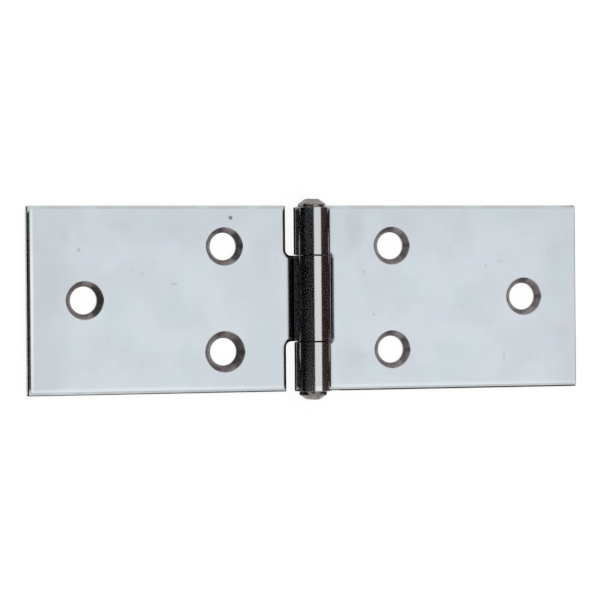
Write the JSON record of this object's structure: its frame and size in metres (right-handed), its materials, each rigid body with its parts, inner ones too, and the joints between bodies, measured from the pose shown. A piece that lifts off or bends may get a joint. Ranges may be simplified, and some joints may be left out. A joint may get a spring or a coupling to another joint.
{
  "type": "fixed pin butt hinge",
  "caption": "Long-leaf steel butt hinge: flat countersunk leaves with rolled knuckles on a riveted pin, joining a door or flap to its frame.",
  "frame": {"origin": "on the pin's axis, halfway along the pin, which is the centre of the hinge laid open and flat", "axes": "+Y along the pin, +X across the leaves towards the one with two knuckles, +Z out of the countersunk faces, on the side where the barrel stands proud"},
  "size_m": [0.1, 0.0348, 0.0063],
  "materials": {
    "zinc_sheet": "bright zinc plate on rolled steel sheet, smooth, with faint rolling lines",
    "zinc_pin": "bright zinc plate, peened ends slightly dull"
  },
  "bodies": {
    "fixed_leaf": {"leaf_double_knuckle": "zinc_sheet", "hinge_pin": "zinc_pin"},
    "swinging_leaf": {"leaf_single_knuckle": "zinc_sheet"}
  },
  "joints": [
    {"name": "leaf_swing", "type": "hinge", "parent": "fixed_leaf", "child": "swinging_leaf", "pos_m": [0, 0, 0], "axis": [0, 1, 0], "range_deg": [-100, 183.5]}
  ]
}
